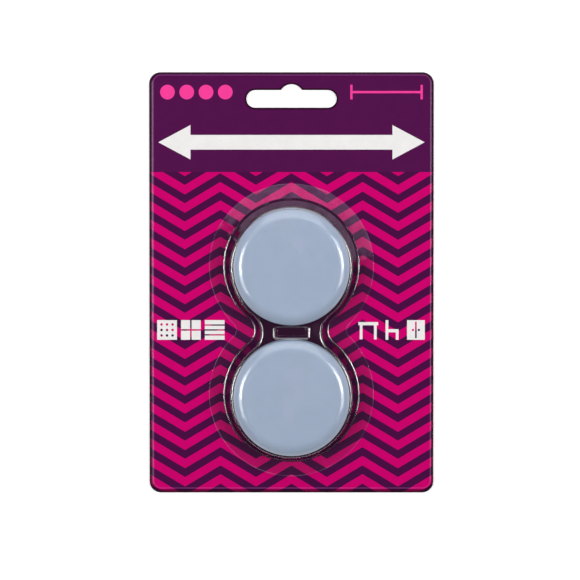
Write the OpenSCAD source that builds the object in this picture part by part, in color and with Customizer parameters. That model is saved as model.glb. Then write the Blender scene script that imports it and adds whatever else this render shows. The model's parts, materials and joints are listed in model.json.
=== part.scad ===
// Hang card with four round furniture sliders, stacked two deep under a clear figure-eight blister.
// The pack lies on its back: X across the card, Y towards the hang slot, Z out of the printed front.

/* [Card] */
// Width of the card
card_w = 124; // [90:1:160]
// Height of the card
card_h = 184; // [165:1:240]
// Radius of the card's corners
card_corner_r = 5; // [3:0.5:15]
// Thickness of the backing board
board_t = 0.8; // [0.4:0.1:2]
// Thickness of the printed face sheet
face_t = 0.4; // [0.2:0.05:0.8]
// Width of the rolled-over rim round the face sheet
rim_w = 1.2; // [0.8:0.1:2.5]

/* [Hang slot] */
// Length of the slot, end to end
slot_l = 39.3; // [30:0.1:50]
// Height of the slot
slot_h = 7.7; // [5:0.1:10]
// Radius of the bump in the slot's upper edge
bump_r = 5.4; // [4:0.1:8]
// Height of the bump's centre above the slot's centre
bump_rise = 1; // [0:0.1:3]
// Distance from the card's top edge down to the slot's centre
slot_drop = 11.6; // [11.6:0.1:20]

/* [Slider] */
// Diameter of a slider
slider_d = 50.8; // [38:0.1:60]
// Height of a slider, from its release liner to its sliding face
slider_h = 6; // [5:0.1:10]
// Radius round the edge of the sliding face
edge_r = 4.4; // [2:0.1:4.5]
// Thickness of the glide's roof
roof_t = 1.6; // [1:0.1:2.5]
// Thickness of the glide's side wall
wall_t = 2; // [1:0.1:3]
// Radius round the outside of the glide's lower rim
lower_edge_r = 0.5; // [0.2:0.1:0.8]
// Height of the glide's lower rim above the liner's underside
rim_lift = 1; // [0.6:0.1:2]
// Gap between the rubber core and the glide's side wall
core_fit = 0.1; // [0.05:0.05:0.3]
// Thickness of the adhesive pad
adhesive_t = 0.25; // [0.1:0.05:0.5]
// Thickness of the release liner
liner_t = 0.15; // [0.05:0.05:0.3]
// How far the liner reaches past the adhesive pad all round
liner_lip = 0.6; // [0.2:0.1:1.5]

/* [Blister] */
// Thickness of the clear sheet
sheet_t = 0.4; // [0.2:0.05:0.6]
// Gap between the two stacks of sliders
stack_gap = 5.6; // [4:0.1:12]
// Gap between the front slider's shoulder and the pocket's wall
side_play = 1.8; // [0.5:0.1:5]
// How far the upper stack lies below the middle of its pocket
upper_slip = 0; // [0:0.1:1]
// How far the lower stack lies below the middle of its pocket
lower_slip = 0.8; // [0:0.1:1]
// Gap between the front slider and the pocket's roof
head_play = 0.4; // [0.2:0.1:2]
// Lean of the pocket's wall from upright, in degrees
draft = 9.5; // [4:0.5:20]
// Radius round the pocket's upper edge
crown_r = 1.6; // [0.8:0.1:2.5]
// Radius where the wall turns out into the flange
foot_r = 1.3; // [0.4:0.1:1.8]
// Radius of the waist between the pockets, at the card
waist_r = 7.3; // [5:0.1:12]
// Width of the flange that is sealed to the card
flange_w = 7; // [4:0.1:10]
// Radius of the flange's outline at the waist
flange_waist_r = 3.8; // [2:0.1:10]
// Distance from the card's bottom edge up to the flange
flange_margin = 7.3; // [3:0.1:15]

/* [Rib] */
// Length of the rib pressed down between the two stacks
rib_l = 16; // [8:0.5:18]
// Depth of the rib below the blister's roof
rib_depth = 6; // [2:0.5:9]
// Lean of the rib's ends from upright, in degrees
rib_draft = 15; // [5:1:25]
// Gap between the rib and the sliders on both sides of it
rib_play = 0.4; // [0.3:0.1:1]

/* [Hidden] */
$fn = 96;
// Distance that carries a cut clear of a face
lap = 0.5;

// Card
card_t = board_t + face_t;
slot_y = card_h / 2 - slot_drop;
rim_arc_r = (rim_w * rim_w + face_t * face_t) / (2 * face_t);

// Slider, from the liner's underside up
slider_r = slider_d / 2;
core_z = liner_t + adhesive_t;
ceiling_z = slider_h - roof_t;
core_r = slider_r - wall_t - core_fit;
round_r = min(edge_r, slider_h - rim_lift - lower_edge_r);
inner_round_r = max(round_r - wall_t, lower_edge_r);

// Blister: the outer wall is a straight line from the card to the crown, turned round each pocket
POCKETS = ["upper", "lower"];
LAYERS = ["rear", "front"];
slips = [upper_slip, lower_slip];
stack_h = len(LAYERS) * slider_h;
half_pitch = (slider_d + stack_gap) / 2;
shoulder_h = stack_h - round_r;
pocket_r = slider_r + side_play + sheet_t / cos(draft) + shoulder_h * tan(draft);
blister_h = stack_h + head_play + sheet_t;
flange_r = pocket_r + flange_w;
blister_y = flange_margin + flange_r + half_pitch - card_h / 2;
roof_z = card_t + blister_h;

// The waist's fillet touches both pockets at every height, so the distance of centres is constant
centres = pocket_r + waist_r;

// Centres of the crown's and the foot's bends, as radius and height
crown_c = [
    pocket_r - (crown_r + (blister_h - crown_r) * sin(draft)) / cos(draft),
    roof_z - crown_r
];
foot_c = [
    pocket_r + (foot_r - (sheet_t + foot_r) * sin(draft)) / cos(draft),
    card_t + sheet_t + foot_r
];
rib_w = stack_gap - 2 * (rib_play + sheet_t);

// Steps round each pocket, each side of the waist, and the two bends of the wall
pocket_steps = 36;
waist_steps = 10;
crown_steps = 4;
foot_steps = 3;

LAYER_PIECES = ["glide", "rubber_core", "adhesive_pad", "release_liner"];

// Points of an arc, without its last one unless all are asked for
function arc(centre, r, from, to, steps, last = 0) =
    [for (i = [0:steps - 1 + last]) let (a = from + (to - from) * i / steps) centre + r * [cos(a), sin(a)]];

function line(from, to, steps) = [for (i = [0:steps - 1]) from + (to - from) * i / steps];

// Ring of points at one height round two pockets of radius r, drawn together by fillets at the waist
function eight(r, fillet_r, z) = let (
    turn = asin(half_pitch / (r + fillet_r)),
    pocket = [0, half_pitch],
    fillet = [(r + fillet_r) * cos(turn), 0]
) at_height(z, concat(
    arc(pocket, r, -turn, 180 + turn, pocket_steps),
    arc(-fillet, fillet_r, turn, -turn, waist_steps),
    arc(-pocket, r, 180 - turn, 360 + turn, pocket_steps),
    arc(fillet, fillet_r, 180 + turn, 180 - turn, waist_steps)
));

// The rib's rectangle at a depth below the roof, grown outwards, with a point for each one of the eight
function rib_ring(depth, grow) = let (
    x = rib_l / 2 - depth * tan(rib_draft) + grow / cos(rib_draft),
    y = rib_w / 2 + grow
) at_height(roof_z - depth, concat(
    line([x, y], [-x, y], pocket_steps),
    line([-x, y], [-x, -y], waist_steps),
    line([-x, -y], [x, -y], pocket_steps),
    line([x, -y], [x, y], waist_steps)
));

function at_height(z, points) = [for (p = points) [p[0], p[1], z]];

// Rings of the wall, from points of its section given as radius and height
function wall_rings(section) = [for (p = section) eight(p[0], centres - p[0], p[1])];

function slider_node(pocket, layer, piece) = str(pocket, "_", layer, "_", piece);

// Full round sector of a corner, from one angle to another less than a half turn on
module pie(r, from, to) {
    reach = 2 * r;
    intersection() {
        circle(r);
        polygon([[0, 0], reach * [cos(from), sin(from)], reach * [cos(to), sin(to)]]);
    }
}

// Card-sized plate; the child is its edge in section, from a corner's centre out to the outline
module card_plate(t) {
    half_w = card_w / 2 - card_corner_r;
    half_h = card_h / 2 - card_corner_r;
    corners = [[half_w, half_h], [-half_w, half_h], [-half_w, -half_h], [half_w, -half_h]];
    for (q = [0:3]) {
        side = 2 * (q % 2 == 0 ? half_h : half_w);
        translate(corners[q]) rotate(90 * q) {
            rotate_extrude(angle = 90) children();
            rotate([90, 0, 0]) linear_extrude(side) children();
        }
    }
    translate([-half_w, -half_h, 0]) cube([2 * half_w, 2 * half_h, t]);
}

// Edge of the face sheet: flat, then rolling down over the rim to nothing at the outline
module rim_section() {
    flat = card_corner_r - rim_w;
    square([flat, face_t]);
    intersection() {
        translate([flat, face_t - rim_arc_r]) circle(rim_arc_r);
        translate([flat, 0]) square([2 * rim_w, 2 * face_t]);
    }
}

module slot_outline() {
    end_r = slot_h / 2;
    straight = slot_l - slot_h;
    square([straight, slot_h], center = true);
    for (s = [-1, 1]) translate([s * straight / 2, 0]) intersection() {
        circle(end_r);
        translate([s * slot_h / 2, 0]) square([slot_h, 2 * slot_h], center = true);
    }
    intersection() {
        translate([0, bump_rise]) circle(bump_r);
        translate([-2 * bump_r, 0]) square([4 * bump_r, 2 * bump_r + bump_rise]);
    }
}

module hang_slot() {
    translate([0, slot_y, -lap]) linear_extrude(card_t + 2 * lap) slot_outline();
}

module backing_board() {
    color("gainsboro") difference() {
        card_plate(board_t) square([card_corner_r, board_t]);
        hang_slot();
    }
}

module face_sheet() {
    color("mediumvioletred") difference() {
        translate([0, 0, board_t]) card_plate(face_t) rim_section();
        hang_slot();
    }
}

// Closed skin through rings of equally many points, with a fan from the middle of each end
module loft(rings) {
    n = len(rings[0]);
    last = len(rings) - 1;
    middles = [for (ring = [rings[0], rings[last]]) [for (p = ring) 1 / n] * ring];
    first_middle = (last + 1) * n;
    sides = [for (k = [0:last - 1]) for (i = [0:n - 1]) let (
        j = (i + 1) % n,
        low = k * n,
        high = low + n
    ) each [[low + i, high + i, high + j], [low + i, high + j, low + j]]];
    caps = [for (i = [0:n - 1]) let (j = (i + 1) % n) each [
        [first_middle, i, j],
        [first_middle + 1, last * n + j, last * n + i]
    ]];
    polyhedron(points = concat([for (ring = rings) each ring], middles), faces = concat(sides, caps));
}

// Thermoformed sheet, from the rib's floor over the roof and down the outside to the flange,
// then back along the inside to the underside of the rib
module blister() {
    color("aliceblue", 0.4) translate([0, blister_y, 0]) loft(concat(
        [rib_ring(rib_depth, 0), rib_ring(0, 0)],
        wall_rings(arc(crown_c, crown_r, 90, draft, crown_steps, 1)),
        wall_rings(arc(foot_c, foot_r, 180 + draft, 270, foot_steps, 1)),
        [eight(flange_r, flange_waist_r, card_t + sheet_t), eight(flange_r, flange_waist_r, card_t)],
        wall_rings(arc(foot_c, foot_r + sheet_t, 270, 180 + draft, foot_steps, 1)),
        wall_rings(arc(crown_c, crown_r - sheet_t, draft, 90, crown_steps, 1)),
        [rib_ring(sheet_t, sheet_t), rib_ring(rib_depth + sheet_t, sheet_t)]
    ));
}

// Hard shell with the sliding face, open below
module glide() {
    color("lightsteelblue") rotate_extrude() difference() {
        union() {
            translate([0, rim_lift]) square([slider_r - lower_edge_r, slider_h - rim_lift - round_r]);
            translate([0, slider_h - round_r]) square([slider_r - round_r, round_r]);
            translate([slider_r - round_r, slider_h - round_r]) pie(round_r, 0, 90);
            translate([0, rim_lift + lower_edge_r])
                square([slider_r, slider_h - round_r - rim_lift - lower_edge_r]);
            translate([slider_r - lower_edge_r, rim_lift + lower_edge_r]) pie(lower_edge_r, 270, 360);
        }
        core_section(slider_r - wall_t, rim_lift - lap);
    }
}

// Round-shouldered section that fills the shell from a given height up to its ceiling
module core_section(r, from) {
    shoulder_z = ceiling_z - inner_round_r;
    translate([0, from]) square([r, shoulder_z - from]);
    translate([0, shoulder_z]) square([r - inner_round_r, inner_round_r]);
    translate([r - inner_round_r, shoulder_z]) pie(inner_round_r, 0, 90);
}

// Rubber that fills the shell and stands a little proud of its rim
module rubber_core() {
    color("dimgray") rotate_extrude() core_section(core_r, core_z);
}

module adhesive_pad() {
    color("beige") translate([0, 0, liner_t]) cylinder(r = core_r - liner_lip, h = adhesive_t);
}

module release_liner() {
    color("ivory") cylinder(r = core_r, h = liner_t);
}

// Place of one slider in its stack
module in_pocket(pocket, layer) {
    side = 1 - 2 * pocket;
    translate([0, blister_y + side * half_pitch - slips[pocket], card_t + layer * slider_h]) children();
}

backing_board();
face_sheet();
blister();
for (p = [0:len(POCKETS) - 1]) for (l = [0:len(LAYERS) - 1]) in_pocket(p, l) {
    glide();
    rubber_core();
    adhesive_pad();
    release_liner();
}
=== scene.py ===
import json
import math

import bmesh
import bpy
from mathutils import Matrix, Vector, noise


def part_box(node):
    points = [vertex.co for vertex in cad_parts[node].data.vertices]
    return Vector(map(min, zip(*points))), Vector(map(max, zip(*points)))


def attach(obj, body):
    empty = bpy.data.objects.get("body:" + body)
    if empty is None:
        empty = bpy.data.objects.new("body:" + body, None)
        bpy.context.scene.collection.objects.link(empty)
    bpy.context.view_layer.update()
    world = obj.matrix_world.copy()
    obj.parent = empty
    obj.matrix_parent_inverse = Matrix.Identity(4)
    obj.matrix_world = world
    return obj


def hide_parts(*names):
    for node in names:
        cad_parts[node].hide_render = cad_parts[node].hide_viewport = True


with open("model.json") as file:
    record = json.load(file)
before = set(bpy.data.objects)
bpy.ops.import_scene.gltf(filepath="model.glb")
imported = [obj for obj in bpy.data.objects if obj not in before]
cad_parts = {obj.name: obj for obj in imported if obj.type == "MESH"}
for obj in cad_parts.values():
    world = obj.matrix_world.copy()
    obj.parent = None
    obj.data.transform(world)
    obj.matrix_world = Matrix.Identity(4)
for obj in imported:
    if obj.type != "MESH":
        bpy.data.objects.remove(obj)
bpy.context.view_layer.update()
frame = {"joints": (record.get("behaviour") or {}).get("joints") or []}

mm = 0.001
mergeDistance = 0.0005 * mm
board, face, sheet = "backing_board", "face_sheet", "blister"
pockets, layers = ("upper", "lower"), ("rear", "front")
quarterTurn = [math.radians(a) for a in range(0, 91, 15)]


# Corners of a CAD node's box, in millimetres
def boxOf(node):
    low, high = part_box(node)
    return low / mm, high / mm


def sliderNode(pocket, layer, piece):
    return f"{pocket}_{layer}_{piece}"


def pocketAxis(pocket, layer):
    name = f"{pocket}_{layer}_spin"
    return next(Vector(j["pos_m"]) / mm for j in frame["joints"] if j["name"] == name)


# Middle of the blister along the card, distance of each pocket from it, and the flange's reach
def blisterPlan():
    low, high = boxOf(sheet)
    return (low.y + high.y) / 2, (high.y - low.y) / 2 - high.x, high.x


# sRGB colour of 0..255 as the linear colour that a socket takes
def ink(red, green, blue):
    def linear(c):
        c /= 255
        return c / 12.92 if c <= 0.04045 else ((c + 0.055) / 1.055) ** 2.4
    return (linear(red), linear(green), linear(blue), 1)


# Node helpers
def addNode(tree, kind, values=None, **settings):
    made = tree.nodes.new(kind)
    for name, value in settings.items():
        setattr(made, name, value)
    for socket, value in (values or {}).items():
        setSocket(tree, made.inputs[socket], value)
    return made


def setSocket(tree, socket, value):
    if isinstance(value, bpy.types.NodeSocket):
        tree.links.new(value, socket)
    else:
        socket.default_value = value


def calc(tree, operation, *values, clamp=False):
    made = addNode(tree, "ShaderNodeMath", dict(enumerate(values)), operation=operation, use_clamp=clamp)
    return made.outputs[0]


def mapRange(tree, value, source, target, **settings):
    values = {"Value": value, "From Min": source[0], "From Max": source[1],
              "To Min": target[0], "To Max": target[1]}
    return addNode(tree, "ShaderNodeMapRange", values, **settings).outputs[0]


def attribute(tree, name):
    return addNode(tree, "ShaderNodeAttribute", attribute_name=name).outputs["Fac"]


def blendColours(tree, factor, first, second, mode="MIX"):
    made = addNode(tree, "ShaderNodeMix", data_type="RGBA", blend_type=mode)
    for socket, value in ((made.inputs[0], factor), (made.inputs[6], first), (made.inputs[7], second)):
        setSocket(tree, socket, value)
    return made.outputs[2]


def newMaterial(name):
    made = bpy.data.materials.new(name)
    made.use_nodes = True
    tree = made.node_tree
    return made, tree, tree.nodes["Principled BSDF"]


def newGroup(name, kind, inputs, outputs):
    tree = bpy.data.node_groups.new(name, kind)
    for label, socketKind, value in inputs:
        item = tree.interface.new_socket(label, in_out="INPUT", socket_type=socketKind)
        if value is not None:
            item.default_value = value
    for label, socketKind in outputs:
        tree.interface.new_socket(label, in_out="OUTPUT", socket_type=socketKind)
    return tree, tree.nodes.new("NodeGroupInput").outputs, tree.nodes.new("NodeGroupOutput").inputs


# Object coordinates in millimetres
def millimetres(tree):
    place = addNode(tree, "ShaderNodeTexCoord").outputs["Object"]
    return addNode(tree, "ShaderNodeVectorMath", {0: place, "Scale": 1 / mm}, operation="SCALE").outputs[0]


# Shared surface effects
fibreLook = {"size": 0.5, "detail": 4, "roughness": 0.6, "twist": 1.2, "fineShare": 0.6,
             "broadScale": 0.08, "broadDetail": 2}
skinLook = {"grain": 0.3, "smoothest": 0.25, "roughest": 0.4, "detail": 3, "cloudScale": 0.03}
mottleRange = (0.3, 0.7)
bumpStrength = 0.35


def makeFibreGroup():
    look = fibreLook
    tree, given, put = newGroup(
        "paperFibre", "ShaderNodeTree",
        [("Place", "NodeSocketVector", None), ("Fibre Size", "NodeSocketFloat", look["size"])],
        [("Mottle", "NodeSocketFloat"), ("Height", "NodeSocketFloat")])
    scale = calc(tree, "DIVIDE", 1, given["Fibre Size"])
    fine = addNode(tree, "ShaderNodeTexNoise",
                   {"Vector": given["Place"], "Scale": scale, "Detail": look["detail"],
                    "Roughness": look["roughness"], "Distortion": look["twist"]})
    broad = addNode(tree, "ShaderNodeTexNoise",
                    {"Vector": given["Place"], "Scale": calc(tree, "MULTIPLY", scale, look["broadScale"]),
                     "Detail": look["broadDetail"]})
    mottle = calc(tree, "ADD", calc(tree, "MULTIPLY", fine.outputs[0], look["fineShare"]),
                  calc(tree, "MULTIPLY", broad.outputs[0], 1 - look["fineShare"]))
    tree.links.new(mottle, put["Mottle"])
    tree.links.new(fine.outputs[0], put["Height"])
    return tree


def makeSkinGroup():
    look = skinLook
    tree, given, put = newGroup(
        "mouldedSkin", "ShaderNodeTree",
        [("Place", "NodeSocketVector", None), ("Grain Size", "NodeSocketFloat", look["grain"]),
         ("Smoothest", "NodeSocketFloat", look["smoothest"]),
         ("Roughest", "NodeSocketFloat", look["roughest"])],
        [("Roughness", "NodeSocketFloat"), ("Mottle", "NodeSocketFloat"), ("Height", "NodeSocketFloat")])
    scale = calc(tree, "DIVIDE", 1, given["Grain Size"])
    grain = addNode(tree, "ShaderNodeTexNoise",
                    {"Vector": given["Place"], "Scale": scale, "Detail": look["detail"]})
    cloud = addNode(tree, "ShaderNodeTexNoise",
                    {"Vector": given["Place"], "Scale": calc(tree, "MULTIPLY", scale, look["cloudScale"]),
                     "Detail": look["detail"]})
    spread = mapRange(tree, cloud.outputs[0], mottleRange, (given["Smoothest"], given["Roughest"]))
    tree.links.new(spread, put["Roughness"])
    tree.links.new(cloud.outputs[0], put["Mottle"])
    tree.links.new(grain.outputs[0], put["Height"])
    return tree


paperFibre, mouldedSkin = makeFibreGroup(), makeSkinGroup()


def useGroup(tree, group, values):
    made = addNode(tree, "ShaderNodeGroup", node_tree=group)
    for socket, value in values.items():
        setSocket(tree, made.inputs[socket], value)
    return made.outputs


def bumpFrom(tree, height, depth):
    values = {"Height": height, "Strength": bumpStrength, "Distance": depth * mm}
    return addNode(tree, "ShaderNodeBump", values).outputs[0]


# Print on the face sheet: zigzag stripes, a plain header and plain signs
printSizes = {
    "stripePitch": 8.0, "stripeShare": 0.52, "zigWidth": 15.5, "zigSlope": 0.6, "headerEdge": 48.5,
    "arrowHeight": 61.5, "arrowTip": 58.0, "arrowHead": 14.0, "arrowHeadWide": 15.0, "arrowBar": 6.4,
    "arrowOverlap": 0.1, "signSize": 8.6, "signPitch": 10.4, "signHeight": -20.6, "signInnermost": 33.5,
    "dotSize": 6.4, "dotPitch": 8.4, "dotHeight": 83.4, "dotOutermost": 54.0, "dotCount": 4,
    "lineWidth": 1.0, "pocketShadeInset": 6.2, "pocketShadeWaistRadius": 6.4,
    "signTenths": {
        "plankPitch": 2.5, "plankGap": 0.7, "tileGap": 0.8, "tuftPitch": 2.8, "tuftSize": 1.3,
        "board": 1.6, "leg": 1.4, "tableRise": 3.2, "tableSpread": 3.6, "tableDrop": 0.8, "tableLeg": 8.0,
        "chairSpread": 2.6, "chairSeat": 6.6, "seatDrop": 0.4, "chairDrop": 3.0, "chairLeg": 4.0,
        "cabinetWide": 9.0, "doorGap": 0.8, "doorTall": 8.4, "knobSpread": 1.5, "knobSize": 1.2,
    },
}
# Three inks are painted light: a dark purple painted shade under the blister, a pale painted highlight
# along the card's crease, and a near-black painted shade out on the rim and round the slot
printInks = {
    "magenta": ink(199, 0, 105), "purple": ink(70, 13, 64), "header": ink(79, 17, 72),
    "panel": ink(52, 8, 46), "white": ink(232, 230, 229), "pink": ink(240, 62, 150),
    "crease": ink(183, 88, 172), "rimShade": ink(38, 5, 30),
}
# Mottle and least share make the painted highlight along the crease patchy; the rim's painted shade also
# roughens the print and thins its varnish
printLook = {
    "fibre": 0.35, "shade": (0.93, 1.05), "highlightMottle": 0.4, "highlightLeast": 0.1, "rimShadeShare": 0.95,
    "roughness": (0.18, 0.26), "rimShadeRoughness": 0.6, "grainDepth": 0.012, "shine": 0.02,
    "varnish": 0.6, "varnishRoughness": 0.2, "rimShadeLoss": 0.6, "creaseLoss": 0.5,
}


class PrintPlan:
    def __init__(self, tree, place):
        self.tree = tree
        split = addNode(tree, "ShaderNodeSeparateXYZ", {0: place})
        self.x, self.y = split.outputs[0], split.outputs[1]

    def calc(self, *given, **more):
        return calc(self.tree, *given, **more)

    def within(self, along, middle, half):
        return self.calc("LESS_THAN", self.calc("ABSOLUTE", self.calc("SUBTRACT", along, middle)), half)

    def box(self, x, y, width, height):
        return self.calc("MULTIPLY", self.within(self.x, x, width / 2), self.within(self.y, y, height / 2))

    def disc(self, x, y, size):
        dx, dy = self.calc("SUBTRACT", self.x, x), self.calc("SUBTRACT", self.y, y)
        squares = self.calc("ADD", self.calc("MULTIPLY", dx, dx), self.calc("MULTIPLY", dy, dy))
        return self.calc("LESS_THAN", self.calc("SQRT", squares), size / 2)

    def union(self, masks):
        whole = masks[0]
        for mask in masks[1:]:
            whole = self.calc("MAXIMUM", whole, mask)
        return whole

    def without(self, mask, gaps):
        return self.calc("SUBTRACT", mask, self.union(gaps), clamp=True)

    def stripes(self, s):
        zig = self.calc("MULTIPLY", self.calc("PINGPONG", self.x, s["zigWidth"]), s["zigSlope"])
        turns = self.calc("DIVIDE", self.calc("ADD", self.y, zig), s["stripePitch"])
        return self.calc("LESS_THAN", self.calc("FRACT", turns), s["stripeShare"])

    def doubleArrow(self, s):
        out = self.calc("ABSOLUTE", self.x)
        rise = self.calc("ABSOLUTE", self.calc("SUBTRACT", self.y, s["arrowHeight"]))
        barEnd = s["arrowTip"] - s["arrowHead"] + s["arrowOverlap"]
        shaft = self.calc("MULTIPLY", self.calc("LESS_THAN", rise, s["arrowBar"] / 2),
                          self.calc("LESS_THAN", out, barEnd))
        toTip = self.calc("SUBTRACT", s["arrowTip"], out)
        slope = s["arrowHeadWide"] / 2 / s["arrowHead"]
        head = self.calc("MULTIPLY", self.calc("LESS_THAN", rise, self.calc("MULTIPLY", toTip, slope)),
                         self.calc("LESS_THAN", toTip, s["arrowHead"]))
        return self.union([shaft, head])

    # Painted shade under the blister: a dark patch of print, with the outline of its foot
    def panel(self, s):
        middle, halfPitch, flangeRadius = blisterPlan()
        radius, filletRadius = flangeRadius - s["pocketShadeInset"], s["pocketShadeWaistRadius"]
        reach = radius + filletRadius
        side = math.sqrt(reach ** 2 - halfPitch ** 2)
        rise = halfPitch * filletRadius / reach
        waist = self.box(0, middle, 2 * side, 2 * rise)
        bites = [self.disc(k * side, middle, 2 * filletRadius) for k in (-1, 1)]
        rounds = [self.disc(0, middle + k * halfPitch, 2 * radius) for k in (-1, 1)]
        return self.union(rounds + [self.without(waist, bites)])

    # Planks, tiles and a carpet from the middle outwards
    def floorSigns(self, size, y, part, places):
        planks, tiles, carpet = (-place for place in places)
        joints = [self.box(planks, y + k * part["plankPitch"], size, part["plankGap"]) for k in (-1, 0, 1)]
        grout = [self.box(tiles, y, size, part["tileGap"]), self.box(tiles, y, part["tileGap"], size)]
        tufts = [self.disc(carpet + i * part["tuftPitch"], y + k * part["tuftPitch"], part["tuftSize"])
                 for i in (-1, 0, 1) for k in (-1, 0, 1)]
        return [self.without(self.box(x, y, size, size), gaps)
                for x, gaps in ((planks, joints), (tiles, grout), (carpet, tufts))]

    # A table, a chair and a cabinet from the middle outwards
    def furnitureSigns(self, size, y, part, places):
        table, chair, cabinet = places
        signs = [self.box(table, y + part["tableRise"], size, part["board"])]
        signs += [self.box(table + k * part["tableSpread"], y - part["tableDrop"],
                           part["leg"], part["tableLeg"]) for k in (-1, 1)]
        signs += [self.box(chair - part["chairSpread"], y, part["leg"], size),
                  self.box(chair, y - part["seatDrop"], part["chairSeat"], part["board"]),
                  self.box(chair + part["chairSpread"], y - part["chairDrop"],
                           part["leg"], part["chairLeg"])]
        doors = [self.box(cabinet, y, part["doorGap"], part["doorTall"])]
        doors += [self.disc(cabinet + k * part["knobSpread"], y, part["knobSize"]) for k in (-1, 1)]
        return signs + [self.without(self.box(cabinet, y, part["cabinetWide"], size), doors)]

    def signs(self, s):
        size, y = s["signSize"], s["signHeight"]
        part = {name: tenths * size / 10 for name, tenths in s["signTenths"].items()}
        places = [s["signInnermost"] + i * s["signPitch"] for i in range(3)]
        signs = self.floorSigns(size, y, part, places) + self.furnitureSigns(size, y, part, places)
        return self.union(signs)

    # A dot for each slider, and a measuring line across from them
    def headerMarks(self, s):
        y, size, wide = s["dotHeight"], s["dotSize"], s["lineWidth"]
        dots = [self.disc(-s["dotOutermost"] + i * s["dotPitch"], y, size) for i in range(s["dotCount"])]
        far = s["dotOutermost"] + size / 2
        near = s["dotOutermost"] - (s["dotCount"] - 1) * s["dotPitch"] - size / 2
        line = [self.box((far + near) / 2, y, far - near, wide)]
        line += [self.box(x, y, wide, size) for x in (near + wide / 2, far - wide / 2)]
        return self.union(dots + line)


def makePrint():
    made, tree, shader = newMaterial("printedFace")
    place = millimetres(tree)
    plan = PrintPlan(tree, place)
    s, look = printSizes, printLook
    colour = blendColours(tree, plan.stripes(s), printInks["purple"], printInks["magenta"])
    # The dark patch under the blister is painted shade
    for name, mask in (("header", plan.calc("GREATER_THAN", plan.y, s["headerEdge"])),
                       ("panel", plan.panel(s)),
                       ("white", plan.union([plan.doubleArrow(s), plan.signs(s)])),
                       ("pink", plan.headerMarks(s))):
        colour = blendColours(tree, mask, colour, printInks[name])
    fibre = useGroup(tree, paperFibre, {"Place": place, "Fibre Size": look["fibre"]})
    shade = mapRange(tree, fibre["Mottle"], mottleRange, look["shade"])
    grey = addNode(tree, "ShaderNodeCombineColor", {0: shade, 1: shade, 2: shade}).outputs[0]
    colour = blendColours(tree, 1, colour, grey, "MULTIPLY")
    # Painted light on the rim: a pale painted highlight along the crease, patchy with the fibre, and
    # near-black painted shade out on the rim and round the slot
    rimShade, crease = attribute(tree, "rimShade"), attribute(tree, "crease")
    highlightPatchiness = calc(tree, "MULTIPLY_ADD", fibre["Mottle"], look["highlightMottle"], look["highlightLeast"])
    colour = blendColours(tree, calc(tree, "MULTIPLY", crease, highlightPatchiness), colour, printInks["crease"])
    rimShaded = calc(tree, "MULTIPLY", rimShade, look["rimShadeShare"])
    colour = blendColours(tree, rimShaded, colour, printInks["rimShade"])
    tree.links.new(colour, shader.inputs["Base Color"])
    rough = mapRange(tree, fibre["Mottle"], (0, 1), look["roughness"])
    rough = calc(tree, "MULTIPLY_ADD", rimShade, look["rimShadeRoughness"], rough, clamp=True)
    tree.links.new(rough, shader.inputs["Roughness"])
    tree.links.new(bumpFrom(tree, fibre["Height"], look["grainDepth"]), shader.inputs["Normal"])
    varnish = calc(tree, "MULTIPLY_ADD", rimShade, -look["rimShadeLoss"], look["varnish"])
    varnish = calc(tree, "MULTIPLY_ADD", crease, -look["creaseLoss"], varnish, clamp=True)
    tree.links.new(varnish, shader.inputs["Coat Weight"])
    shader.inputs["Coat Roughness"].default_value = look["varnishRoughness"]
    shader.inputs["Specular IOR Level"].default_value = look["shine"]
    return made


# Plain papers
paperLooks = {
    "paleBoard": {"dark": ink(214, 209, 199), "light": ink(236, 233, 226),
                  "fibre": 0.6, "grainDepth": 0.05, "roughness": 0.85},
    "waxedPaper": {"dark": ink(226, 217, 196), "light": ink(243, 238, 224),
                   "fibre": 0.8, "grainDepth": 0.02, "roughness": 0.4},
}


def makePaper(name):
    made, tree, shader = newMaterial(name)
    look = paperLooks[name]
    fibre = useGroup(tree, paperFibre, {"Place": millimetres(tree), "Fibre Size": look["fibre"]})
    tone = mapRange(tree, fibre["Mottle"], mottleRange, (0, 1))
    tree.links.new(blendColours(tree, tone, look["dark"], look["light"]), shader.inputs["Base Color"])
    tree.links.new(bumpFrom(tree, fibre["Height"], look["grainDepth"]), shader.inputs["Normal"])
    shader.inputs["Roughness"].default_value = look["roughness"]
    return made


# Clear sheet: light goes straight through, and the outer skin mirrors a share that grows with the angle.
# A pale veil lies where the seal is hazy, at the raw cut and, in faint marks, where the roofs were handled;
# round the top of the upper pocket it is also a painted sheen on the flange and a painted reflection on the
# wall
sheetLook = {
    "tint": (0.98, 0.98, 0.985, 1), "veil": (0.95, 0.7, 0.98, 1), "mirror": (1, 1, 1, 1),
    "mirrorShare": 0.14, "mirrorRoughness": 0.16, "slantBlend": 0.5, "slantShare": 0.5, "slantPower": 12,
    "veilDulls": 20, "markScale": 0.07, "markDetail": 5, "markTwist": 1.5, "markRange": (0.5, 0.75),
    "markShare": 0.05,
}


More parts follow.
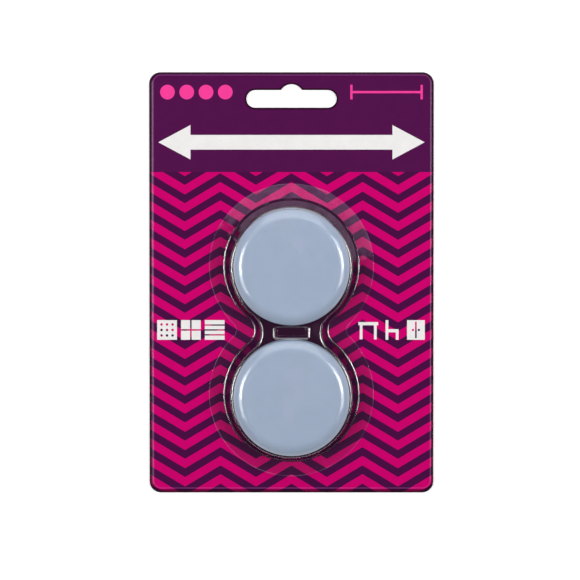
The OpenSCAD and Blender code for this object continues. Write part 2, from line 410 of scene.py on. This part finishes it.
def makeClearSheet():
    made, tree, shader = newMaterial("clearSheet")
    tree.nodes.remove(shader)
    look = sheetLook
    slant = addNode(tree, "ShaderNodeLayerWeight", {"Blend": look["slantBlend"]}).outputs["Facing"]
    steep = calc(tree, "POWER", slant, look["slantPower"])
    share = calc(tree, "MULTIPLY_ADD", steep, look["slantShare"], look["mirrorShare"])
    path = addNode(tree, "ShaderNodeLightPath").outputs
    inside = addNode(tree, "ShaderNodeNewGeometry").outputs["Backfacing"]
    frostAndSheen, raw = attribute(tree, "frostAndSheen"), attribute(tree, "raw")
    unlit = calc(tree, "MULTIPLY", frostAndSheen, look["veilDulls"])
    for mask in (path["Is Diffuse Ray"], path["Is Shadow Ray"], path["Is Glossy Ray"], inside, raw):
        unlit = calc(tree, "MAXIMUM", unlit, mask)
    share = calc(tree, "MULTIPLY", share, calc(tree, "SUBTRACT", 1, unlit, clamp=True))
    through = addNode(tree, "ShaderNodeBsdfTransparent", {"Color": look["tint"]})
    mirror = addNode(tree, "ShaderNodeBsdfAnisotropic",
                     {"Color": look["mirror"], "Roughness": look["mirrorRoughness"]})
    clear = addNode(tree, "ShaderNodeMixShader", {0: share, 1: through.outputs[0], 2: mirror.outputs[0]})
    cloud = addNode(tree, "ShaderNodeTexNoise",
                    {"Vector": millimetres(tree), "Scale": look["markScale"],
                     "Detail": look["markDetail"], "Distortion": look["markTwist"]})
    marks = mapRange(tree, cloud.outputs[0], look["markRange"], (0, look["markShare"]))
    hazeAndSheen = calc(tree, "MULTIPLY_ADD", marks, attribute(tree, "handled"), frostAndSheen)
    veil = addNode(tree, "ShaderNodeBsdfDiffuse", {"Color": look["veil"]})
    mix = addNode(tree, "ShaderNodeMixShader", {0: hazeAndSheen, 1: clear.outputs[0], 2: veil.outputs[0]})
    tree.links.new(mix.outputs[0], tree.nodes["Material Output"].inputs["Surface"])
    return made


# Moulded plastic, rubber and film
mouldedLooks = {
    "glidePlastic": {"dark": ink(173, 191, 214), "light": ink(177, 194, 217), "smoothest": 0.36,
                     "roughest": 0.42, "grain": 0.25, "grainDepth": 0.004, "coat": 1.0},
    "coreRubber": {"dark": ink(34, 34, 36), "light": ink(48, 48, 50), "smoothest": 0.6,
                   "roughest": 0.8, "grain": 0.4, "grainDepth": 0.03, "coat": 0},
    "tackyFilm": {"dark": ink(206, 198, 172), "light": ink(222, 215, 192), "smoothest": 0.3,
                  "roughest": 0.55, "grain": 0.5, "grainDepth": 0.02, "coat": 0.2},
}
coatLook = {"Coat Roughness": 0.06, "Coat IOR": 1.8}


def makeMoulded(name):
    made, tree, shader = newMaterial(name)
    look = mouldedLooks[name]
    skin = useGroup(tree, mouldedSkin, {"Place": millimetres(tree), "Grain Size": look["grain"],
                                        "Smoothest": look["smoothest"], "Roughest": look["roughest"]})
    tone = mapRange(tree, skin["Mottle"], mottleRange, (0, 1))
    tree.links.new(blendColours(tree, tone, look["dark"], look["light"]), shader.inputs["Base Color"])
    tree.links.new(skin["Roughness"], shader.inputs["Roughness"])
    tree.links.new(bumpFrom(tree, skin["Height"], look["grainDepth"]), shader.inputs["Normal"])
    shader.inputs["Coat Weight"].default_value = look["coat"]
    for socket, value in coatLook.items():
        shader.inputs[socket].default_value = value
    return made


printedFace, clearSheet = makePrint(), makeClearSheet()
paleBoard, waxedPaper = (makePaper(name) for name in paperLooks)
glidePlastic, coreRubber, tackyFilm = (makeMoulded(name) for name in mouldedLooks)
print("materials made")


# Mesh helpers
def addPiece(name, mesh, material, body, slot, *nodes, sharp=40):
    mesh.materials.clear()
    mesh.materials.append(material)
    cleaned = bmesh.new()
    cleaned.from_mesh(mesh)
    bmesh.ops.remove_doubles(cleaned, verts=cleaned.verts, dist=mergeDistance)
    bmesh.ops.recalc_face_normals(cleaned, faces=cleaned.faces)
    cleaned.to_mesh(mesh)
    cleaned.free()
    mesh.shade_smooth()
    mesh.set_sharp_from_angle(angle=math.radians(sharp))
    piece = bpy.data.objects.new(name, mesh)
    bpy.context.scene.collection.objects.link(piece)
    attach(piece, body)
    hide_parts(*nodes)
    return piece


def addValues(mesh, name, values):
    mesh.attributes.new(name, "FLOAT", "POINT").data.foreach_set("value", values)


def arcPoints(centre, radius, start, stop, steps):
    angles = [math.radians(start + (stop - start) * i / steps) for i in range(steps + 1)]
    return [(centre[0] + radius * math.cos(a), centre[1] + radius * math.sin(a)) for a in angles]


def blendPoints(first, last, share):
    return tuple(p + (q - p) * share for p, q in zip(first, last))


# Closed skin through rings of equally many points, with a flat face at each end
def loftRings(name, rings):
    count = len(rings[0])
    corners = [Vector(p) * mm for ring in rings for p in ring]
    faces = []
    for k in range(len(rings) - 1):
        low, high = k * count, (k + 1) * count
        faces += [(low + i, low + (i + 1) % count, high + (i + 1) % count, high + i) for i in range(count)]
    faces += [tuple(reversed(range(count))), tuple(range((len(rings) - 1) * count, len(rings) * count))]
    mesh = bpy.data.meshes.new(name)
    mesh.from_pydata(corners, [], faces)
    return mesh


# Turned pieces: a section swept round its axis
turnSizes = {"steps": 160, "pathRadius": 10.0}


def makeTurnedTree():
    tree, given, put = newGroup(
        "turnedPiece", "GeometryNodeTree",
        [("Section", "NodeSocketGeometry", None), ("Steps", "NodeSocketInt", turnSizes["steps"]),
         ("Path Radius", "NodeSocketFloat", turnSizes["pathRadius"] * mm),
         ("Centre", "NodeSocketVector", None), ("Finish", "NodeSocketMaterial", None)],
        [("Piece", "NodeSocketGeometry")])
    section = addNode(tree, "GeometryNodeMeshToCurve", {0: given["Section"]})
    path = addNode(tree, "GeometryNodeCurvePrimitiveCircle",
                   {"Resolution": given["Steps"], "Radius": given["Path Radius"]})
    upright = addNode(tree, "GeometryNodeSetCurveNormal", {"Curve": path.outputs[0]}, mode="Z_UP")
    swept = addNode(tree, "GeometryNodeCurveToMesh",
                    {"Curve": upright.outputs[0], "Profile Curve": section.outputs[0]})
    closed = addNode(tree, "GeometryNodeMergeByDistance",
                     {"Geometry": swept.outputs[0], "Distance": mergeDistance})
    moved = addNode(tree, "GeometryNodeTransform",
                    {"Geometry": closed.outputs[0], "Translation": given["Centre"]})
    whole = addNode(tree, "GeometryNodeRealizeInstances", {0: moved.outputs[0]})
    finished = addNode(tree, "GeometryNodeSetMaterial",
                       {"Geometry": whole.outputs[0], "Material": given["Finish"]})
    tree.links.new(finished.outputs[0], put["Piece"])
    return tree


turnedTree = makeTurnedTree()


# The section is given as (radius, height) points from the axis round to the axis
def turnPiece(name, section, centre, material, body, slot, node):
    reach = turnSizes["pathRadius"]
    mesh = bpy.data.meshes.new(name + "_section")
    points = [((r - reach) * mm, -z * mm, 0) for r, z in section]
    mesh.from_pydata(points, [(i, i + 1) for i in range(len(points) - 1)], [])
    holder = bpy.data.objects.new(name + "_section", mesh)
    bpy.context.scene.collection.objects.link(holder)
    modifier = holder.modifiers.new("turned", "NODES")
    modifier.node_group = turnedTree
    values = {"Steps": turnSizes["steps"], "Path Radius": reach * mm,
              "Centre": [c * mm for c in centre], "Finish": material}
    for item in turnedTree.interface.items_tree:
        if item.in_out == "INPUT" and item.name in values:
            modifier[item.identifier] = values[item.name]
    turned = holder.evaluated_get(bpy.context.evaluated_depsgraph_get())
    solid = bpy.data.meshes.new_from_object(turned)
    holder.modifiers.remove(modifier)
    bpy.data.objects.remove(holder)
    solid.name = name
    return addPiece(name, solid, material, body, slot, node)


# The hold is the width of flat kept beside a bend, so that the shading stays on the bend
glideSizes = {
    "edgeWidth": 5.4, "edgeSlope": 50, "edgePower": 2.4, "edgeSteps": 26, "cornerRadius": 0.6,
    "cornerSteps": 5, "innerRadius": 2.4, "innerSteps": 10, "roof": 1.6, "wall": 2.0,
    "rimRadius": 0.45, "rimSteps": 5, "hold": 0.25,
}
roundSizes = {"hold": 0.2, "lowSteps": 5, "highSteps": 8}
coreSizes = {"edgeRadius": 2.4, "footRadius": 0.3}
filmSizes = {"edgeRadius": 0.04, "air": 0.01}


# The sliding face curves down ever faster towards a small corner at the rim
def glideSection(radius, low, high):
    s = glideSizes
    inner, ceiling = radius - s["wall"], high - s["roof"]
    corner, slope = s["cornerRadius"], math.radians(s["edgeSlope"])
    flat = radius - corner * (1 - math.sin(slope)) - s["edgeWidth"]
    drop = s["edgeWidth"] * math.tan(slope) / s["edgePower"]
    bend, rim = s["innerRadius"], s["rimRadius"]
    points = [(0, ceiling), (inner - bend - s["hold"], ceiling)]
    points += arcPoints((inner - bend, ceiling - bend), bend, 90, 0, s["innerSteps"])
    points += arcPoints((inner + rim, low + rim), rim, 180, 270, s["rimSteps"])
    points += arcPoints((radius - rim, low + rim), rim, 270, 360, s["rimSteps"])
    points += arcPoints((radius - corner, high - drop - corner * math.cos(slope)), corner,
                        0, 90 - s["edgeSlope"], s["cornerSteps"])
    along = [1 - i / s["edgeSteps"] for i in range(1, s["edgeSteps"] + 1)]
    points += [(flat + s["edgeWidth"] * u, high - drop * u ** s["edgePower"]) for u in along]
    return points + [(flat - s["hold"], high), (0, high)]


# Plain round of one material, with its two edges rounded
def roundSection(radius, low, high, lowRadius, highRadius):
    s = roundSizes
    points = [(0, low), (radius - lowRadius - s["hold"], low)]
    points += arcPoints((radius - lowRadius, low + lowRadius), lowRadius, 270, 360, s["lowSteps"])
    points += arcPoints((radius - highRadius, high - highRadius), highRadius, 0, 90, s["highSteps"])
    return points + [(radius - highRadius - s["hold"], high), (0, high)]


def coreSection(radius, low, high):
    return roundSection(radius, low, high, coreSizes["footRadius"], coreSizes["edgeRadius"])


# A hair of air under each film keeps stacked pieces from sharing a face
def filmSection(radius, low, high):
    edge = filmSizes["edgeRadius"]
    return roundSection(radius, low + filmSizes["air"], high, edge, edge)


sliderPieces = (
    ("glide", glideSection, glidePlastic, "glide"),
    ("rubber_core", coreSection, coreRubber, "rubber"),
    ("adhesive_pad", filmSection, tackyFilm, "adhesive"),
    ("release_liner", filmSection, waxedPaper, "liner"),
)


def makeSlider(pocket, layer):
    body = f"{pocket}_{layer}_slider"
    axis = pocketAxis(pocket, layer)
    for piece, makeSection, material, slot in sliderPieces:
        node = sliderNode(pocket, layer, piece)
        low, high = boxOf(node)
        section = makeSection((high.x - low.x) / 2, low.z, high.z)
        turnPiece(node + "_turned", section, (axis.x, axis.y, 0), material, body, slot, node)


for pocket in pockets:
    for layer in layers:
        makeSlider(pocket, layer)
print("sliders turned")


# The clear blister
blisterSizes = {
    "thickness": 0.4, "draft": 9.5, "crownRadius": 1.6, "footRadius": 1.3, "waistRadius": 7.3,
    "flangeWidth": 7.0, "flangeWaistRadius": 3.8, "sealGap": 0.03, "cutRadius": 0.12, "hold": 0.3,
    "pocketSteps": 220, "waistSteps": 40, "bendSteps": 10, "cutSteps": 4, "flangeRows": 9,
    "rib": {
        "length": 13.4, "width": 4.0, "depth": 6.0, "endDraft": 5, "endLip": 1.6, "lipRadius": 1.4,
        "floorRadius": 0.15, "cornerRadius": 0.35, "leastCorner": 0.2, "cornerShare": 5, "leastSteps": 2,
        "hold": 0.2,
    },
    # Angles run round the upper pocket, in degrees from the right
    # Seal haze and painted sheen on the flange, and a stronger painted reflection on the wall above the
    # foot
    "hazeAndSheen": {
        "from": 4, "to": 148, "fade": 5, "startWander": 4.8, "stopWander": 16, "raggedness": 0.5,
        "most": 1.25, "grain": 3.2, "octaves": 3, "share": 0.052, "wallReflectionShare": 1.9, "footShare": 0.15,
        "footStart": 0.02,
    },
    "cutFrost": {
        "share": 0.16, "least": 0.25, "middle": 0.55, "swing": 1.2, "grain": 9.0, "octaves": 2, "level": 9,
    },
}
noiseShape = {"falloff": 0.8, "spacing": 2.2}


def raggedNoise(x, y, level, s):
    place = Vector((x, y, level)) / s["grain"]
    return noise.fractal(place, noiseShape["falloff"], noiseShape["spacing"], s["octaves"])


def clampShare(value, most=1):
    return max(0, min(most, value))


def makeBlister():
    s = blisterSizes
    rib, hazeAndSheen, cutFrost = s["rib"], s["hazeAndSheen"], s["cutFrost"]
    low, high = boxOf(sheet)
    middle, halfPitch, flangeRadius = blisterPlan()
    roof, cardTop, thick, hold = high.z, low.z, s["thickness"], s["hold"]
    pocketRadius = flangeRadius - s["flangeWidth"]
    centres = pocketRadius + s["waistRadius"]
    lean = math.radians(s["draft"])
    crownRadius, footRadius = s["crownRadius"], s["footRadius"]
    crownFall = crownRadius + (roof - cardTop - crownRadius) * math.sin(lean)
    crown = (pocketRadius - crownFall / math.cos(lean), roof - crownRadius)
    footRun = footRadius - (thick + footRadius) * math.sin(lean)
    foot = (pocketRadius + footRun / math.cos(lean), cardTop + thick + footRadius)
    wide, narrow = s["pocketSteps"], s["waistSteps"]

    # Ring round both pockets, drawn together by fillets at the waist
    def eight(radius, filletRadius, height):
        reach = radius + filletRadius
        turn = math.degrees(math.asin(halfPitch / reach))
        side = reach * math.cos(math.radians(turn))
        flat = arcPoints((0, halfPitch), radius, -turn, 180 + turn, wide)[:-1]
        flat += arcPoints((-side, 0), filletRadius, turn, -turn, narrow)[:-1]
        flat += arcPoints((0, -halfPitch), radius, 180 - turn, 360 + turn, wide)[:-1]
        flat += arcPoints((side, 0), filletRadius, 180 + turn, 180 - turn, narrow)[:-1]
        return [(x, middle + y, height) for x, y in flat]

    def wall(points):
        return [eight(r, centres - r, z) for r, z in points]

    # Ring round the rib, with rounded corners and as many points as the eight has
    def ribRing(depth, grow):
        reach = grow * rib["endLip"] if grow > 0 else grow
        a = rib["length"] / 2 - depth * math.tan(math.radians(rib["endDraft"])) + reach
        b = rib["width"] / 2 + grow
        c = max(rib["cornerRadius"] + grow, rib["leastCorner"])

        def run(corners, steps):
            (x0, y0, a0), (x1, y1, a1) = corners
            bend = max(rib["leastSteps"], steps // rib["cornerShare"])
            points = arcPoints((x0, y0), c, a0, a0 + 45, bend)
            straight = steps - 2 * bend - 1
            p, q = points[-1], arcPoints((x1, y1), c, a1, a1 + 45, bend)
            points += [blendPoints(p, q[0], i / (straight + 1)) for i in range(1, straight + 1)]
            return (points + q)[:steps]

        x, y = a - c, b - c
        flat = run([(x, y, 45), (-x, y, 90)], wide) + run([(-x, y, 135), (-x, -y, 180)], narrow)
        flat += run([(-x, -y, 225), (x, -y, 270)], wide) + run([(x, -y, 315), (x, y, 360)], narrow)
        return [(px, middle + py, roof - depth) for px, py in flat]

    # Rib from its floor up to its mouth; on the inside it lies a sheet's thickness lower and wider
    def ribRings(inside):
        shift = thick if inside else 0
        lip, bend = rib["lipRadius"] - shift, rib["floorRadius"] + shift
        floor = rib["depth"] + shift
        rings = [ribRing(floor, shift - bend - rib["hold"])]
        rings += [ribRing(floor - bend * (1 - math.cos(a)), shift - bend * (1 - math.sin(a)))
                  for a in quarterTurn]
        rings += [ribRing(shift + lip * (1 - math.sin(a)), shift + lip * (1 - math.cos(a)))
                  for a in quarterTurn]
        return rings + [ribRing(shift, shift + lip + hold)]

    # Straight wall with a ring close to each bend, so that the shading stays on the bends
    def between(a, b):
        near = hold / math.dist(a, b)
        return [blendPoints(a, b, share) for share in (near, 1 - near)]

    def section(crownArc, footArc):
        (crownX, crownZ), (footX, footZ) = crownArc[0], footArc[-1]
        straight = between(crownArc[-1], footArc[0])
        return [(crownX - hold, crownZ)] + crownArc + straight + footArc + [(footX + hold, footZ)]

    bends, draft = s["bendSteps"], s["draft"]
    flangeTop, flangeLow = cardTop + thick, cardTop + s["sealGap"]
    outerCrown = arcPoints(crown, crownRadius, 90, draft, bends)
    outerFoot = arcPoints(foot, footRadius, 180 + draft, 270, bends)
    innerCrown = arcPoints(crown, crownRadius - thick, 90, draft, bends)
    innerFoot = arcPoints(foot, footRadius + thick, 180 + draft, 270, bends)
    innerFoot = [(r, max(z, flangeLow)) for r, z in innerFoot]
    cut = s["cutRadius"]
    edge = [(flangeRadius - hold, flangeTop)]
    edge += arcPoints((flangeRadius - cut, flangeTop - cut), cut, 90, 0, s["cutSteps"])
    edge += [(flangeRadius, flangeLow), (flangeRadius - hold, flangeLow)]
    flange = [eight(r, s["flangeWaistRadius"] + flangeRadius - r, z) for r, z in edge]
    outside = ribRings(False)
    roofRings, rows = len(outside), s["flangeRows"]
    outside += wall(section(outerCrown, outerFoot))
    lastFoot = outside[-1]
    for k in range(1, rows):
        outside.append([blendPoints(a, b, k / rows) for a, b in zip(lastFoot, flange[0])])
    rings = outside + flange
    rings += list(reversed(wall(section(innerCrown, innerFoot)))) + list(reversed(ribRings(True)))
    mesh = loftRings("clear_blister", rings)

    # Uneven seal with a painted sheen: a pale haze round the top of the upper pocket, with a ragged start
    # and end; on the wall it is a stronger painted reflection
    def hazeAndSheenAt(x, y):
        turn = math.degrees(math.atan2(y - middle - halfPitch, x)) % 360
        if turn > 270:
            turn -= 360
        ragged = raggedNoise(x, y, 0, hazeAndSheen)
        start = (turn - hazeAndSheen["from"] + hazeAndSheen["startWander"] * ragged) / hazeAndSheen["fade"]
        stop = (hazeAndSheen["to"] - turn + hazeAndSheen["stopWander"] * ragged) / hazeAndSheen["fade"]
        uneven = clampShare(1 + hazeAndSheen["raggedness"] * ragged, hazeAndSheen["most"])
        return clampShare(start) * clampShare(stop) * uneven

    # Cut edge of the flange, which catches the light in places
    def cutAt(x, y):
        patchy = cutFrost["middle"] + cutFrost["swing"] * raggedNoise(x, y, cutFrost["level"], cutFrost)
        return cutFrost["share"] * max(cutFrost["least"], min(1, patchy))

    # Frost veils the sheet, as seal haze with painted sheen and as painted reflection on the wall, raw
    # takes its mirror away, and the foot of the hazy wall stays dark
    footStart, footStop = flangeTop + hazeAndSheen["footStart"], flangeTop + footRadius
    wallStart, cutStart, cutStop = roofRings + bends, len(outside) + 2, len(outside) + len(flange) - 1
    frostAndSheen, raw = [], []
    for k, ring in enumerate(rings):
        for x, y, z in ring:
            veil, dull = 0, 0
            if cutStart <= k < cutStop:
                veil, dull = cutAt(x, y), 1
            elif wallStart < k < cutStart:
                hazeAndSheenHere = hazeAndSheenAt(x, y)
                veil = hazeAndSheen["share"] * hazeAndSheenHere
                if footStart < z < footStop:
                    veil, dull = veil * hazeAndSheen["footShare"], min(1, hazeAndSheenHere)
                elif z >= footStop:
                    veil *= hazeAndSheen["wallReflectionShare"]
            frostAndSheen.append(veil)
            raw.append(dull)
    addValues(mesh, "frostAndSheen", frostAndSheen)
    addValues(mesh, "raw", raw)
    roofs = (roofRings - 1, roofRings)
    addValues(mesh, "handled", [float(k in roofs) for k, ring in enumerate(rings) for _ in ring])
    return addPiece("clear_blister", mesh, clearSheet, "pack", "clear_sheet", sheet, sharp=50)


makeBlister()
print("blister formed")


# The card
cardSizes = {
    "cornerRadius": 5.0, "cornerSteps": 14, "creaseInset": 1.93, "creaseRadius": 1.87, "creaseMargin": 0.4,
    "creaseShift": (0.24, 0.5), "rimSlope": 26, "rimEdge": 0.12, "cutInset": 0.02, "cutTop": 0.1,
    "cutFoot": 0.22, "underDrop": 0.24, "underInset": 0.1, "plyGap": 0.002, "boardEdge": 0.08,
    "boardTopInset": 0.12, "boardTopDrop": 0.02, "boardSideDrop": 0.08,
    # Painted light from the crease out along the rim: above 0 it is near-black painted shade, below 0 a
    # pale painted highlight
    "rimPaintedLight": (0, -0.2, -0.8, -1, -0.8, -0.2, 0.2, 0.45, 0.65),
    # The slot's edge is darkened with painted shade between two insets
    "slot": {
        "length": 39.3, "height": 7.7, "drop": 11.6, "bumpRadius": 5.4, "bumpRise": 1.0, "steps": 18,
        "edgeRadius": 0.3, "shadeFrom": 0.6, "shadeTo": 0.4, "paintedLight": 0.9, "foot": 0.05,
    },
}


# Outline of the card, drawn in by inset; the pressed crease lies a little off centre
def cardRing(half, inset, height):
    s = cardSizes
    radius = s["cornerRadius"] - inset
    x, y = half.x - s["cornerRadius"], half.y - s["cornerRadius"]
    share = min(1, inset / s["creaseInset"])
    shiftX, shiftY = (share * shift for shift in s["creaseShift"])
    flat = []
    for turn, sx, sy in ((0, 1, 1), (90, -1, 1), (180, -1, -1), (270, 1, -1)):
        flat += arcPoints((sx * x, sy * y), radius, turn, turn + 90, s["cornerSteps"])
    return [(px + shiftX, py + shiftY, height) for px, py in flat]


# Outline of the hang slot, opened out by grow, with a bump in its upper edge
def slotRing(half, grow, height):
    s = cardSizes["slot"]
    end, straight = s["height"] / 2 + grow, (s["length"] - s["height"]) / 2
    bump = s["bumpRadius"] + grow
    start = math.degrees(math.asin((end - s["bumpRise"]) / bump))
    flat = arcPoints((straight, 0), end, -90, 90, s["steps"])
    flat += arcPoints((0, s["bumpRise"]), bump, start, 180 - start, s["steps"])
    flat += arcPoints((-straight, 0), end, 90, 270, s["steps"])
    middle = half.y - s["drop"]
    return [(px, middle + py, height) for px, py in flat]


# Plate with rings down its outline and down the slot, each with its painted light, shade above 0 and
# highlight below 0, and flat faces with a hole
def makePlate(name, outlineRings, slotRings):
    made = bmesh.new()
    dark, paintedHighlight = (made.verts.layers.float.new(paintedLight) for paintedLight in ("rimShade", "crease"))
    loops = []
    for rings in (outlineRings, slotRings):
        rows = [[made.verts.new(Vector(p) * mm) for p in ring] for ring, _ in rings]
        for row, (_, paintedLight) in zip(rows, rings):
            for v in row:
                v[dark], v[paintedHighlight] = max(0, paintedLight), max(0, -paintedLight)
        for a, b in zip(rows, rows[1:]):
            for i in range(len(a)):
                j = (i + 1) % len(a)
                made.faces.new((a[i], a[j], b[j], b[i]))
        loops.append((rows[0], rows[-1]))
    for k in (0, 1):
        edges = []
        for pair in loops:
            row = pair[k]
            for i in range(len(row)):
                a, b = row[i], row[(i + 1) % len(row)]
                edges.append(made.edges.get((a, b)) or made.edges.new((a, b)))
        bmesh.ops.triangle_fill(made, use_beauty=True, use_dissolve=False, edges=edges)
    mesh = bpy.data.meshes.new(name)
    made.to_mesh(mesh)
    made.free()
    return mesh


def makeCard():
    s, t = cardSizes, cardSizes["slot"]
    boardLow, boardHigh = boxOf(board)
    faceHigh = boxOf(face)[1]
    half = Vector((boardHigh.x, boardHigh.y))
    top, mid, low = faceHigh.z, boardHigh.z, boardLow.z
    crease, bend, slope = s["creaseInset"], s["creaseRadius"], math.radians(s["rimSlope"])
    steps = len(s["rimPaintedLight"]) - 1
    turns = [slope * i / steps for i in range(steps + 1)]
    arc = [(crease - bend * math.sin(a), top - bend * (1 - math.cos(a))) for a in turns]
    lastInset, lastTop = arc[-1]
    edgeTop = lastTop - (lastInset - s["rimEdge"]) * math.tan(slope)
    under, foot, inset = edgeTop - s["underDrop"], mid + s["plyGap"], s["cutInset"]
    profile = [(crease + s["creaseMargin"], top, 0)]
    profile += [(along, height, paintedLight) for (along, height), paintedLight in zip(arc, s["rimPaintedLight"])]
    profile += [(s["rimEdge"], edgeTop, 1), (inset, edgeTop - s["cutTop"], 1)]
    profile += [(inset, edgeTop - s["cutFoot"], 1), (s["underInset"], under, 1), (crease, foot, 1)]
    outline = [(cardRing(half, along, height), paintedLight) for along, height, paintedLight in profile]
    r = t["edgeRadius"]
    # The slot's mouth takes near-black painted shade, rising from nothing on the top face to full down its
    # edge
    mouth = [(r + t["shadeFrom"], top, 0), (r + t["shadeTo"], top, t["paintedLight"])]
    mouth += [(r * (1 - math.sin(a)), top - r * (1 - math.cos(a)), 1) for a in quarterTurn]
    mouth += [(0, mid + t["foot"], 1), (inset, foot, 1)]
    slot = [(slotRing(half, grow, height), paintedLight) for grow, height, paintedLight in mouth]
    plate = makePlate("printed_sheet", outline, slot)
    addPiece("printed_sheet", plate, printedFace, "pack", "print", face, sharp=50)
    edge = s["boardEdge"]
    side = [(crease, mid), (s["boardTopInset"], under - s["boardTopDrop"]),
            (inset, under - s["boardSideDrop"]), (inset, low + edge), (edge, low)]
    outline = [(cardRing(half, along, height), 0) for along, height in side]
    hole = [(inset, mid), (inset, low + edge), (edge, low)]
    slot = [(slotRing(half, grow, height), 0) for grow, height in hole]
    plate = makePlate("pale_board", outline, slot)
    addPiece("pale_board", plate, paleBoard, "pack", "board", board, sharp=30)


makeCard()
print("card cut")


# Floor, lamps and camera; places and lamp sizes are in metres, the camera's sizes in millimetres
floorSizes = {
    "reach": 12.0, "drop": -0.0002, "colour": (0.8, 0.8, 0.8, 1), "roughness": 0.9, "shine": 0.1,
    "glow": (1, 1, 1, 1), "glowReach": (0.25, 0.8), "glowLevel": (0.3, 1),
}


# The floor glows towards white away from the part, for what looks at it only, and keeps its shadow
def makeFloor():
    s = floorSizes
    made, tree, shader = newMaterial("paleFloor")
    shader.inputs["Base Color"].default_value = s["colour"]
    shader.inputs["Roughness"].default_value = s["roughness"]
    shader.inputs["Specular IOR Level"].default_value = s["shine"]
    path = addNode(tree, "ShaderNodeLightPath").outputs
    seen = calc(tree, "MAXIMUM", path["Is Glossy Ray"], path["Is Transmission Ray"])
    seen = calc(tree, "MAXIMUM", path["Is Camera Ray"], seen)
    place = addNode(tree, "ShaderNodeTexCoord").outputs["Object"]
    far = addNode(tree, "ShaderNodeVectorMath", {0: place}, operation="LENGTH").outputs["Value"]
    level = mapRange(tree, far, s["glowReach"], s["glowLevel"], interpolation_type="SMOOTHSTEP")
    strength = calc(tree, "MULTIPLY", seen, level)
    glow = addNode(tree, "ShaderNodeEmission", {"Color": s["glow"], "Strength": strength})
    both = addNode(tree, "ShaderNodeAddShader", {0: shader.outputs[0], 1: glow.outputs[0]})
    tree.links.new(both.outputs[0], tree.nodes["Material Output"].inputs["Surface"])
    mesh = bpy.data.meshes.new("floor")
    corners = [(x * s["reach"], y * s["reach"], s["drop"]) for x, y in ((-1, -1), (1, -1), (1, 1), (-1, 1))]
    mesh.from_pydata(corners, [], [(0, 1, 2, 3)])
    mesh.materials.append(made)
    floor = bpy.data.objects.new("floor", mesh)
    bpy.context.scene.collection.objects.link(floor)


# Soft boxes at both sides, each with a brighter middle, and a broad one beyond the top of the card
lampSizes = {
    "left": {"place": (-0.5, -0.06, 0.55), "size": (0.54, 0.33), "radiance": 3.5},
    "leftMiddle": {"place": (-0.49, -0.01, 0.539), "size": (0.22, 0.3), "radiance": 5.8},
    "right": {"place": (0.5, 0.02, 0.55), "size": (0.54, 0.33), "radiance": 3.5},
    "rightMiddle": {"place": (0.49, 0.04, 0.539), "size": (0.22, 0.3), "radiance": 5.8},
    "top": {"place": (0.0, 0.65, 0.39), "size": (1.0, 0.85), "radiance": 1.3},
}
# The sky darkens from the first height to the second, given as the upward part of the view
skySizes = {"colour": (1, 1, 1, 1), "heights": (0.3, 0.9), "levels": (0.16, 0.02)}


def makeLamps():
    for name, s in lampSizes.items():
        light = bpy.data.lights.new(name + "Box", "AREA")
        light.shape = "RECTANGLE"
        light.size, light.size_y = s["size"]
        light.energy = s["radiance"] * math.pi * light.size * light.size_y
        lamp = bpy.data.objects.new(name + "Box", light)
        lamp.location = s["place"]
        lamp.rotation_euler = Vector(s["place"]).to_track_quat("Z", "Y").to_euler()
        lamp.visible_camera = False
        bpy.context.scene.collection.objects.link(lamp)


def makeSky():
    s = skySizes
    world = bpy.data.worlds.new("studio")
    world.use_nodes = True
    tree = world.node_tree
    place = addNode(tree, "ShaderNodeTexCoord").outputs["Generated"]
    upward = addNode(tree, "ShaderNodeSeparateXYZ", {0: place}).outputs[2]
    fade = mapRange(tree, upward, s["heights"], s["levels"], interpolation_type="SMOOTHSTEP")
    tree.links.new(fade, tree.nodes["Background"].inputs["Strength"])
    tree.nodes["Background"].inputs["Color"].default_value = s["colour"]
    bpy.context.scene.world = world


cameraSizes = {
    "target": (-0.64, -3.1, 1.2), "distance": 4000, "tilt": 5, "field": 253.0, "sensor": 36,
    "clip": (50, 20000),
}


def makeCamera():
    s = cameraSizes
    data = bpy.data.cameras.new("camera")
    data.sensor_width = s["sensor"]
    data.lens = s["sensor"] * s["distance"] / s["field"]
    data.clip_start, data.clip_end = (reach * mm for reach in s["clip"])
    camera = bpy.data.objects.new("camera", data)
    tilt = math.radians(s["tilt"])
    back = s["distance"] * Vector((0, math.sin(tilt), math.cos(tilt)))
    camera.location = (Vector(s["target"]) + back) * mm
    camera.rotation_euler = (-tilt, 0, 0)
    bpy.context.scene.collection.objects.link(camera)
    bpy.context.scene.camera = camera


makeFloor()
makeLamps()
makeSky()
makeCamera()
bpy.context.scene.view_settings.view_transform = "Standard"
print("stage set")
